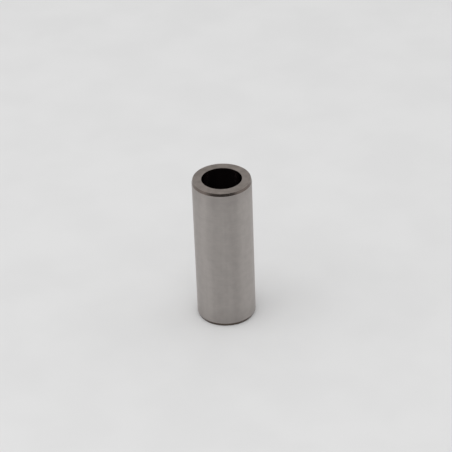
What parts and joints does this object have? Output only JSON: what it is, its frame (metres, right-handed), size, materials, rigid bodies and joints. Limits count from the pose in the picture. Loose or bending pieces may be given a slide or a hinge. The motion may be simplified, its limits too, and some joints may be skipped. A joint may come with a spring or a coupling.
{
  "type": "gudgeon pin",
  "caption": "Hollow cylindrical steel pin with a ground outside wall, a plain through bore, flat end faces and short lead-in tapers, that joins a piston to a connecting rod.",
  "frame": {"origin": "centre of the lower end face, on which the pin stands", "axes": "+Z along the pin's axis, towards the upper end face"},
  "size_m": [0.022, 0.022, 0.058],
  "materials": {
    "pin_steel": "satin ground outside wall, plain turned end faces, dark heat-treated bore"
  },
  "bodies": {
    "root": {"gudgeon_pin": "pin_steel"}
  },
  "joints": []
}
